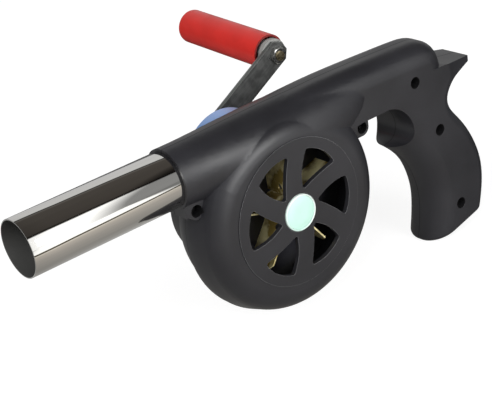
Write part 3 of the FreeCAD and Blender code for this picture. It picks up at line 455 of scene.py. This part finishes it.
def soften(piece, width):
    bevel = piece.modifiers.new("Softened edges", "BEVEL")
    bevel.width = width
    bevel.segments = 2
    bevel.limit_method = "ANGLE"
    bevel.angle_limit = math.radians(35)
    bevel.harden_normals = True


def even_shading(piece):
    """Keeps flat faces flat in the smooth shading, beside rounds that run into them."""
    shading = piece.modifiers.new("Even shading", "WEIGHTED_NORMAL")
    shading.keep_sharp = True


def turned(profile, centre, axis, across, steps):
    """A closed profile of (along, radius) points, spun about the axis through centre."""
    bm = bmesh.new()
    verts = [bm.verts.new(centre + axis * along + across * radius) for along, radius in profile]
    edges = [bm.edges.new((verts[i], verts[(i + 1) % len(verts)])) for i in range(len(verts))]
    bmesh.ops.spin(bm, geom=verts + edges, cent=centre, axis=axis, angle=2 * math.pi,
                   steps=steps, use_merge=True)
    bmesh.ops.remove_doubles(bm, verts=bm.verts, dist=1e-7)
    return bm


def repaint(piece, material, wanted):
    """Gives the faces that a test picks out a material of their own."""
    piece.data.materials.append(material)
    for face in piece.data.polygons:
        if wanted(face):
            face.material_index = len(piece.data.materials) - 1


def paint(node, material):
    """Gives a CAD node its finish."""
    target = frame["nodes"][node]
    target.data.materials.clear()
    target.data.materials.append(material)


# ---------------------------------------------------------------- casing

def casing_plastic(settings):
    """Black satin plastic, darker in the fine line where the two shells part."""
    material = plastic("Black casing plastic", settings.plastic, settings.mottle, settings.gloss,
                       settings.grain)
    tree = material.node_tree
    shader = tree.nodes["Principled BSDF"]
    off_seam = add(tree, "ShaderNodeMath", operation="ABSOLUTE")
    tree.links.new(axes_of(tree)["Y"], off_seam.inputs[0])
    clear = spread(tree, off_seam.outputs["Value"], 0.3, 1.0, settings.seam * 0.7, settings.seam)
    base = source_of(shader, "Base Color")
    tree.links.new(blend_colours(tree, clear, settings.line, base), shader.inputs["Base Color"])
    duller = add(tree, "ShaderNodeMix")
    duller.inputs["A"].default_value = 0.9
    tree.links.new(clear, duller.inputs["Factor"])
    tree.links.new(source_of(shader, "Roughness"), duller.inputs["B"])
    tree.links.new(duller.outputs["Result"], shader.inputs["Roughness"])
    return material


def round_rims(bm, width):
    """Rounds the front shell's outer rims: the face ring, the slots and the screw pockets."""
    outer = [edge for edge in bm.edges
             if len(edge.link_faces) == 2 and max(vert.co.y for vert in edge.verts) < RIM_Y]
    flat = [edge for edge in outer if min(-face.normal.y for face in edge.link_faces) > FLAT]
    bmesh.ops.dissolve_limit(bm, angle_limit=math.radians(0.5), verts=[], edges=flat,
                             use_dissolve_boundaries=False)
    rims = [edge for edge in bm.edges
            if len(edge.link_faces) == 2 and max(vert.co.y for vert in edge.verts) < RIM_Y
            and edge.calc_face_angle_signed(0.0) > RIM_ANGLE
            and max(-face.normal.y for face in edge.link_faces) > FACING]
    bmesh.ops.bevel(bm, geom=rims, offset=width, segments=3, profile=0.5, affect="EDGES",
                    material=-1, clamp_overlap=True)


def in_pocket(face):
    """Whether a face is a wall of one of the pockets that the casing screws are sunk in."""
    place = face.center
    return abs(face.normal.y) < WALL_Y and any(
        math.hypot(place.x - x, place.z - z) < POCKET_REACH for x, z in SCREW_AXES)


def on_ring_edge(face):
    """Whether a face belongs to the rounded edge of the raised face ring."""
    return face.center.y < RING_EDGE_Y and ROUNDING[0] < -face.normal.y < ROUNDING[1]


class BLOWER_OT_casing(Operator):
    """Dress both casing shells in black moulded plastic"""
    bl_idname = "blower.casing"
    bl_label = "Casing shells"

    def execute(self, context):
        settings = context.scene.blower_casing
        material = casing_plastic(settings)
        even_shading(dress("rear_shell", "casing_rear", material,
                           sharp_degrees=30.0))
        front = copy_of("front_shell")
        round_rims(front, settings.edge_round)
        piece = finish_mesh("casing_front", front, material, "casing", 30.0)
        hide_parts("front_shell")
        even_shading(piece)
        # Painted shade: the walls of the screw pockets get a near-black plastic in place of the
        # shade deep in them
        repaint(piece, plastic("Painted pocket shade", settings.pocket_shade, *VARIED["pocket_shade"],
                               settings.grain), in_pocket)
        # Painted highlight: the rounded edge of the raised face ring gets a pale grey in place of
        # the light it catches
        repaint(piece, plastic("Painted ring edge highlight", settings.ring_edge_highlight, *VARIED["ring_edge_highlight"],
                               settings.grain), on_ring_edge)
        paint("gear_plate", plastic("Partition plastic", settings.partition,
                                    *VARIED["partition"], settings.grain))
        return {"FINISHED"}


class BLOWER_OT_screws(Operator):
    """Blacken the screws"""
    bl_idname = "blower.screws"
    bl_label = "Screws"

    def execute(self, context):
        screw = context.scene.blower_crank.screw
        material = metal("Black oxide screw", screw, *VARIED["screw"])
        for node in ("shell_screws", "gear_plate_screws", "gear_cover_screws"):
            dress(node, node.replace("_screws", "_screw_set"), material,
                  flat_degrees=0.5)
        return {"FINISHED"}


# ---------------------------------------------------------------- tube

def chrome(settings):
    """Polished plating with faint drawn lines."""
    material, tree, shader = blank_material("Chromed tube", 0.06, metallic=1.0)
    lines = lines_node(tree, 5.0, 420.0)
    tone = spread(tree, lines.outputs["Lines"], 0.0, 0.5)
    duller = tinted(settings.chrome, 0.86)
    tree.links.new(blend_colours(tree, tone, settings.chrome, duller), shader.inputs["Base Color"])
    gloss = spread(tree, lines.outputs["Lines"], 0.035, 0.085)
    tree.links.new(gloss, shader.inputs["Roughness"])
    raise_surface(tree, shader, lines.outputs["Lines"], PLATING_LINES)
    return material


def lining(settings, radius):
    """Dull metal, paler low in the tube as painted light and darker high in it as painted shade."""
    material = plastic("Tube lining", settings.inside, tinted(settings.inside, 1.3), 0.5, FINE_GRAIN)
    tree = material.node_tree
    shader = tree.nodes["Principled BSDF"]
    # Painted light and shade: paler towards the bottom of the bore, darker towards its top
    high = spread(tree, axes_of(tree)["Z"], 0.0, 1.0, -radius, radius * 0.5)
    base = source_of(shader, "Base Color")
    tree.links.new(blend_colours(tree, high, settings.painted_low_light, base), shader.inputs["Base Color"])
    return material


class BLOWER_OT_tube(Operator):
    """Turn the chromed air tube with its rounded mouth"""
    bl_idname = "blower.tube"
    bl_label = "Air tube"

    def execute(self, context):
        settings = context.scene.blower_tube
        low, high = TUBE_BOX
        length = high.x - low.x
        outer, rim = settings.radius, settings.rim
        inner = outer - settings.wall
        # The rim's corners in the middle of their rounding, and a ring that holds its shading
        corner, hold = rim * 0.35, 0.02
        step = FAN_JOINT["pos_m"][0] - MOUTH_REACH
        neck = outer - NECK_STEP[1]
        profile = [(0.0, inner + rim), (0.0, outer - rim), (corner, outer - corner),
                   (rim, outer), (hold, outer), (step - NECK_STEP[0], outer),
                   (step, neck), (length, neck), (length, inner), (hold, inner), (rim, inner),
                   (corner, inner + corner)]
        start = Vector((low.x, 0.0, 0.0))
        bm = turned(profile, start, Vector((1, 0, 0)), Vector((0, 0, 1)), steps=TUBE_STEPS)
        tube = finish_mesh("air_tube_chrome", bm, chrome(settings), "casing")
        repaint(tube, lining(settings, inner),
                lambda face: math.hypot(face.center.y, face.center.z) < inner + BORE_MARGIN)
        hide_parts("air_tube")
        return {"FINISHED"}


# ---------------------------------------------------------------- badge

class BLOWER_OT_badge(Operator):
    """Turn the bare mint badge and its pale ring at the grille's hub"""
    bl_idname = "blower.badge"
    bl_label = "Hub badge"

    def execute(self, context):
        settings = context.scene.blower_badge
        low, high = BADGE_BOX
        centre = Vector(FAN_JOINT["pos_m"])
        centre.y = low.y
        depth = high.y - low.y
        radius, ring = settings.radius, settings.ring
        axis, across = Vector((0, 1, 0)), Vector((1, 0, 0))
        # A pinhole at the axis keeps the spun faces whole
        pinhole = 0.0001
        mint = plastic("Mint badge", settings.mint, tinted(settings.mint, 0.96), settings.gloss,
                       settings.grain, grain_scale=900.0, cloud_scale=60.0)
        # The face is dished a little and turns down at its edge; the ring stands proud of it
        face_radius, edge_drop = radius - ring, 0.0004
        face = turned([(0.00035, pinhole), (0.00022, 0.0035),
                       (0.00018, face_radius - edge_drop), (edge_drop, face_radius),
                       (depth, face_radius), (depth, pinhole)],
                      centre, axis, across, steps=BADGE_STEPS)
        finish_mesh("badge_face", face, mint, "casing")
        pale = plastic("Badge ring", settings.edge, settings.mint, settings.gloss, settings.grain)
        inner = face_radius + settings.gap
        edge = turned([(0.0002, inner), (0.0, radius - ring * 0.6), (0.0001, radius - 0.00025),
                       (edge_drop, radius), (depth, radius), (depth, inner)],
                      centre, axis, across, steps=BADGE_STEPS)
        piece = finish_mesh("badge_ring", edge, pale, "casing")
        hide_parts("hub_badge")
        return {"FINISHED"}


# ---------------------------------------------------------------- fan and gears

def gold_sheet(settings):
    """Bright sheet with the blotchy tone of gold passivation."""
    material, tree, shader = blank_material("Gold passivated sheet", 0.3, metallic=0.1)
    grain = grain_node(tree, 700.0, 120.0)
    blotch = spread(tree, grain.outputs["Cloud"], 0.0, 1.0, 0.4, 0.6)
    tone = blend_colours(tree, blotch, settings.deep_gold, settings.gold)
    tree.links.new(tone, shader.inputs["Base Color"])
    tree.links.new(spread(tree, grain.outputs["Cloud"], 0.22, 0.4), shader.inputs["Roughness"])
    raise_surface(tree, shader, grain.outputs["Cloud"], settings.dents)
    return material


class BLOWER_OT_fan(Operator):
    """Dress the gold impeller, its shaft and the gears"""
    bl_idname = "blower.fan"
    bl_label = "Fan and gears"

    def execute(self, context):
        settings = context.scene.blower_fan
        gold = gold_sheet(settings)
        dress("impeller_blades", "fan_blades", gold)
        # Painted shade: the disc gets a dark navy tone in place of the shade behind the blades
        paint("impeller_disc", plastic("Painted shade disc", settings.disc, *VARIED["disc"], FINE_GRAIN))
        dress("impeller_hub", "fan_hub", gold)
        brass = metal("Machined brass", settings.brass, *VARIED["brass"])
        for node in ("front_fan_bush", "rear_fan_bush", "crank_bush", "fan_pinion"):
            paint(node, brass)
        steel = metal("Ground steel", settings.steel, *VARIED["steel"])
        for node in ("fan_shaft", "idler_axle", "crank_shaft"):
            paint(node, steel)
        nylon = plastic("White nylon", settings.nylon, *VARIED["nylon"], FINE_GRAIN)
        for node in ("compound_gear", "crank_gear"):
            paint(node, nylon)
        return {"FINISHED"}


# ---------------------------------------------------------------- crank

def worn_paint(settings, turn):
    """Dark cloudy paint with fine scuffs along the arm that show the steel."""
    material, tree, shader = blank_material("Worn dark paint", 0.42)
    lines = lines_node(tree, 25.0, 1100.0, turn)
    scuff = spread(tree, lines.outputs["Lines"], 0.0, 0.12, first=0.5, last=0.8)
    grain = grain_node(tree, GRAIN_SCALE, 260.0)
    patch = spread(tree, grain.outputs["Cloud"], 0.0, 1.0, 0.38, 0.62)
    uneven = blend_colours(tree, patch, tinted(settings.arm, 0.7), tinted(settings.arm, 1.25))
    tree.links.new(blend_colours(tree, scuff, uneven, settings.bare), shader.inputs["Base Color"])
    tree.links.new(spread(tree, lines.outputs["Lines"], 0.34, 0.46), shader.inputs["Roughness"])
    tree.links.new(scuff, shader.inputs["Metallic"])
    raise_surface(tree, shader, lines.outputs["Lines"], PAINT_LINES)
    return material


def cover_plastic(settings):
    """Blue plastic, with painted shade towards the tube and a painted highlight towards the grip."""
    blue = settings.cover
    material = plastic("Blue cover plastic", blue, tinted(blue, 0.9), 0.38, FINE_GRAIN)
    tree = material.node_tree
    shader = tree.nodes["Principled BSDF"]
    axes = axes_of(tree)
    low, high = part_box("gear_cover")
    middle = (low.x + high.x) / 2
    # Painted shade towards the tube's end and a painted highlight towards the grip's end, by X
    shade_share = spread(tree, axes["X"], 0.0, 1.0, low.x, middle)
    pale = spread(tree, axes["X"], 0.0, 0.6, middle, high.x)
    shaded = blend_colours(tree, shade_share, settings.cover_painted_shade, source_of(shader, "Base Color"))
    tree.links.new(blend_colours(tree, pale, shaded, settings.cover_painted_highlight),
                   shader.inputs["Base Color"])
    return material


class BLOWER_OT_crank(Operator):
    """Dress the crank arm with its nuts, washers and bolt, and the blue cover"""
    bl_idname = "blower.crank"
    bl_label = "Crank and cover"

    def execute(self, context):
        settings = context.scene.blower_crank
        slope = settings.arm_slope
        arm = dress("crank_arm", "crank_arm_strip", worn_paint(settings, slope),
                    flat_degrees=0.5, edge_round=settings.arm_round)
        edge = metal("Bare arm edge", settings.bare, settings.arm, 0.4, along=30.0, turn=slope)
        repaint(arm, edge, lambda face: abs(face.normal.y) < ARM_EDGE_Y)
        zinc = metal("Zinc plate", settings.zinc, *VARIED["zinc"])
        for node, name in (("crank_nut", "crank_nut_hex"), ("handle_nut", "handle_nut_hex")):
            dress(node, name, zinc, flat_degrees=0.5, edge_round=settings.nut_round)
        for node, name in (("crank_washer", "crank_washer_ring"),
                           ("handle_washer", "handle_washer_ring")):
            dress(node, name, zinc)
        stud = metal("Yellow zinc", settings.stud, *VARIED["stud"])
        dress("handle_bolt", "handle_bolt_long", stud, flat_degrees=0.5)
        grey = plastic("Grey spacer", settings.spacer, *VARIED["spacer"], FINE_GRAIN)
        dress("handle_spacer", "handle_spacer_flange", grey)
        dress("gear_cover", "gear_cover_blue", cover_plastic(settings))
        return {"FINISHED"}


# ---------------------------------------------------------------- handle

def in_recess(face):
    """Whether a face lies in the recess at the handle's crank end."""
    start, axis = Vector(GRIP_JOINT["pos_m"]), Vector(GRIP_JOINT["axis"]).normalized()
    along = (face.center - start).dot(axis)
    off_axis = (face.center - start - axis * along).length
    return along < RECESS_END and off_axis < RECESS_RADIUS


class BLOWER_OT_handle(Operator):
    """Dress the red handle, with painted shade in its recess"""
    bl_idname = "blower.handle"
    bl_label = "Handle"

    def execute(self, context):
        settings = context.scene.blower_handle
        red = plastic("Red handle plastic", settings.red, tinted(settings.red, 0.85),
                      settings.gloss, FINE_GRAIN, cloud_scale=70.0)
        shader = red.node_tree.nodes["Principled BSDF"]
        shader.inputs["Specular IOR Level"].default_value = settings.specular
        sleeve = dress("handle_grip", "handle_red_sleeve", red)
        # Painted shade: the recess gets a darker red in place of its shade
        shaded = plastic("Shaded red", settings.recess_shade_red, settings.recess_shade_red, 0.6, FINE_GRAIN)
        repaint(sleeve, shaded, in_recess)
        return {"FINISHED"}


# ---------------------------------------------------------------- stage

def colour_ramp(tree, value, stops):
    """Colours along a value from 0 to 1; stops are (place, colour)."""
    ramp = add(tree, "ShaderNodeValToRGB")
    elements = ramp.color_ramp.elements
    while len(elements) < len(stops):
        elements.new(0.5)
    # Places first, because the ramp sorts its elements by them
    for element, (place, tone) in zip(elements, stops):
        element.position = place
    for element, (place, tone) in zip(elements, stops):
        element.color = rgba(tone)
    tree.links.new(value, ramp.inputs["Fac"])
    return ramp.outputs["Color"]


def scaled(tree, tone, factor):
    """A colour times a factor."""
    node = add(tree, "ShaderNodeVectorMath", operation="SCALE")
    tree.links.new(tone, node.inputs[0])
    tree.links.new(factor, node.inputs["Scale"])
    return node.outputs["Vector"]


def slanted(tree, axes, y_share):
    """X plus a share of Y."""
    node = add(tree, "ShaderNodeMath", operation="MULTIPLY_ADD")
    node.inputs[1].default_value = y_share
    tree.links.new(axes["Y"], node.inputs[0])
    tree.links.new(axes["X"], node.inputs[2])
    return node.outputs["Value"]


def dimmed(tree, tone, axes, left, right, y_share):
    """A tone dimmed towards the left by X, and towards the right by X plus a share of Y."""
    left_dim = spread(tree, axes["X"], *left)
    right_dim = spread(tree, slanted(tree, axes, y_share), *right)
    return scaled(tree, scaled(tree, tone, left_dim), right_dim)


# The surround by its height angle about X, in degrees from the back (+Y) up and over to the front
SURROUND = [
    (-180.0, (1.45, 1.45, 1.43)), (-140.0, (0.5, 0.49, 0.46)), (-20.0, (0.5, 0.49, 0.47)),
    (0.0, (0.60, 0.60, 0.60)), (48.0, (0.66, 0.66, 0.65)), (50.0, (0.012, 0.012, 0.011)),
    (52.5, (0.012, 0.012, 0.011)), (55.0, (0.14, 0.13, 0.12)), (62.0, (0.075, 0.067, 0.059)),
    (128.0, (0.058, 0.051, 0.045)), (132.0, (0.014, 0.012, 0.010)), (136.0, (0.014, 0.012, 0.010)),
    (138.0, (1.45, 1.45, 1.43)), (180.0, (1.45, 1.45, 1.43)),
]
# How it dims to each side: the light's share at the start and end, and where these lie
SURROUND_LEFT = (0.3, 1.0, -0.7, 0.2)
SURROUND_RIGHT = (1.0, 0.2, 0.82, 0.94)
SURROUND_SLANT = -0.4


def studio_world(scene):
    """A white sky to the eye, and to the surfaces a studio: dark ceiling, pale walls."""
    world = bpy.data.worlds.new("Studio")
    scene.world = world
    world.use_nodes = True
    tree = world.node_tree
    tree.nodes.clear()
    axes = axes_of(tree, "Generated")
    turn = add(tree, "ShaderNodeMath", operation="ARCTAN2")
    tree.links.new(axes["Z"], turn.inputs[0])
    tree.links.new(axes["Y"], turn.inputs[1])
    height = spread(tree, turn.outputs["Value"], 0.0, 1.0, -math.pi, math.pi)
    stops = [((degrees + 180.0) / 360.0, tone) for degrees, tone in SURROUND]
    bands = dimmed(tree, colour_ramp(tree, height, stops), axes, SURROUND_LEFT, SURROUND_RIGHT,
                   SURROUND_SLANT)
    surround = add(tree, "ShaderNodeBackground")
    tree.links.new(bands, surround.inputs["Color"])
    white = add(tree, "ShaderNodeBackground")
    white.inputs["Color"].default_value = (1, 1, 1, 1)
    path = add(tree, "ShaderNodeLightPath")
    either = add(tree, "ShaderNodeMixShader")
    out = add(tree, "ShaderNodeOutputWorld")
    tree.links.new(path.outputs["Is Camera Ray"], either.inputs["Fac"])
    tree.links.new(surround.outputs["Background"], either.inputs[1])
    tree.links.new(white.outputs["Background"], either.inputs[2])
    tree.links.new(either.outputs["Shader"], out.inputs["Surface"])


# What the floor shows in reflections, by its distance in front of (-) or behind the tube, in metres
FLOOR_REACH = 0.5
FLOOR_BANDS = [
    (-0.5, (1.45, 1.45, 1.42)), (-0.335, (1.45, 1.45, 1.42)), (-0.31, (0.10, 0.085, 0.06)),
    (-0.245, (0.10, 0.085, 0.06)), (-0.23, (0.95, 0.90, 0.80)), (-0.205, (0.62, 0.57, 0.50)),
    (-0.12, (0.45, 0.42, 0.38)), (-0.02, (0.30, 0.29, 0.27)), (0.15, (0.55, 0.55, 0.54)),
    (0.5, (0.85, 0.85, 0.85)),
]
FLOOR_LEFT = (0.35, 1.0, -0.3, 0.05)
FLOOR_RIGHT = (1.0, 0.15, 0.19, 0.32)
FLOOR_SLANT = 0.75


def floor_material(settings):
    """A matt floor: white but for its shadow to the eye, banded white and grey in reflections."""
    material, tree, shader = blank_material("Studio floor", 0.9)
    shader.inputs["Specular IOR Level"].default_value = 0.0
    path = add(tree, "ShaderNodeLightPath")
    eye, gloss = path.outputs["Is Camera Ray"], path.outputs["Is Glossy Ray"]
    tone = blend_colours(tree, eye, settings.table, settings.floor)
    tree.links.new(blend_colours(tree, gloss, tone, (0.0, 0.0, 0.0)), shader.inputs["Base Color"])
    axes = axes_of(tree)
    across = spread(tree, axes["Y"], 0.0, 1.0, -FLOOR_REACH, FLOOR_REACH)
    stops = [((y + FLOOR_REACH) / (2 * FLOOR_REACH), band) for y, band in FLOOR_BANDS]
    bands = dimmed(tree, colour_ramp(tree, across, stops), axes, FLOOR_LEFT, FLOOR_RIGHT,
                   FLOOR_SLANT)
    glow = settings.glow
    lit = blend_colours(tree, eye, (0.0, 0.0, 0.0), (glow, glow, glow))
    tree.links.new(blend_colours(tree, gloss, lit, bands), shader.inputs["Emission Color"])
    shader.inputs["Emission Strength"].default_value = 1.0
    return material


# Each lamp's name, place, width, height and power, and whether glossy surfaces show it
LAMPS = [
    ("front_softbox", (0.33, -1.25, 0.42), 0.7, 0.6, 9.3, True),
    ("left_fill", (-1.3, -0.8, 1.2), 1.2, 1.2, 30.0, False),
    ("back_fill", (0.6, 1.3, 1.0), 1.2, 1.2, 4.0, False),
]
LIT_POINT = (0.13, 0.0, 0.0)
# The camera's place, and its right, up and backward directions
CAMERA_PLACE = (-0.22888, -0.50331, 0.26437)
CAMERA_AXES = [(0.76811, -0.62252, -0.14989), (0.38114, 0.25641, 0.88825),
               (-0.51452, -0.73940, 0.43422)]
SENSOR_WIDTH = 36.0
NEAREST_SEEN = 0.01
FLOOR_RADIUS = 6.0
FLOOR_GAP = 0.0002


def lamp(name, place, width, height, power, glossy):
    data = bpy.data.lights.new(name, "AREA")
    data.shape = "RECTANGLE"
    data.size = width
    data.size_y = height
    data.energy = power
    item = bpy.data.objects.new(name, data)
    bpy.context.scene.collection.objects.link(item)
    item.location = place
    item.rotation_euler = (Vector(LIT_POINT) - Vector(place)).to_track_quat("-Z", "Y").to_euler()
    item.visible_camera = False
    item.visible_glossy = glossy


class BLOWER_OT_stage(Operator):
    """Set the floor, the lamps and the camera"""
    bl_idname = "blower.stage"
    bl_label = "Stage"

    def execute(self, context):
        scene = context.scene
        settings = scene.blower_stage
        scene.view_settings.view_transform = "Standard"
        bm = bmesh.new()
        bmesh.ops.create_circle(bm, cap_ends=True, segments=96, radius=FLOOR_RADIUS)
        bmesh.ops.translate(bm, verts=bm.verts, vec=(0, 0, CAD_BOX[0][2] - FLOOR_GAP))
        mesh = bpy.data.meshes.new("studio_floor")
        bm.to_mesh(mesh)
        bm.free()
        floor = bpy.data.objects.new("studio_floor", mesh)
        scene.collection.objects.link(floor)
        floor.data.materials.append(floor_material(settings))
        studio_world(scene)
        for row in LAMPS:
            lamp(*row)
        camera_data = bpy.data.cameras.new("camera")
        camera_data.lens = settings.lens
        camera_data.sensor_width = SENSOR_WIDTH
        camera_data.sensor_fit = "HORIZONTAL"
        camera_data.clip_start = NEAREST_SEEN
        camera = bpy.data.objects.new("camera", camera_data)
        scene.collection.objects.link(camera)
        turn = Matrix(CAMERA_AXES).transposed().to_4x4()
        camera.matrix_world = Matrix.Translation(CAMERA_PLACE) @ turn
        scene.camera = camera
        return {"FINISHED"}


# ---------------------------------------------------------------- add-on

OPERATORS = [BLOWER_OT_casing, BLOWER_OT_screws, BLOWER_OT_tube, BLOWER_OT_badge, BLOWER_OT_fan,
             BLOWER_OT_crank, BLOWER_OT_handle, BLOWER_OT_stage]


class BLOWER_PT_panel(Panel):
    """Lists the blower's pieces and their settings"""
    bl_label = "Crank blower"
    bl_idname = "BLOWER_PT_panel"
    bl_space_type = "VIEW_3D"
    bl_region_type = "UI"
    bl_category = "Blower"

    def draw(self, context):
        for operator in OPERATORS:
            self.layout.operator(operator.bl_idname)
        for name, group in SETTINGS.items():
            box = self.layout.box()
            for prop in group.__annotations__:
                box.prop(getattr(context.scene, name), prop)


def register():
    for group in SETTINGS.values():
        bpy.utils.register_class(group)
    for name, group in SETTINGS.items():
        setattr(bpy.types.Scene, name, PointerProperty(type=group))
    for item in OPERATORS + [BLOWER_PT_panel]:
        bpy.utils.register_class(item)


def unregister():
    for item in [BLOWER_PT_panel] + OPERATORS[::-1]:
        bpy.utils.unregister_class(item)
    for name, group in SETTINGS.items():
        delattr(bpy.types.Scene, name)
        bpy.utils.unregister_class(group)


def main():
    register()
    bpy.ops.blower.casing()
    bpy.ops.blower.screws()
    bpy.ops.blower.tube()
    bpy.ops.blower.badge()
    bpy.ops.blower.fan()
    bpy.ops.blower.crank()
    bpy.ops.blower.handle()
    bpy.ops.blower.stage()


if __name__ == "__main__":
    main()
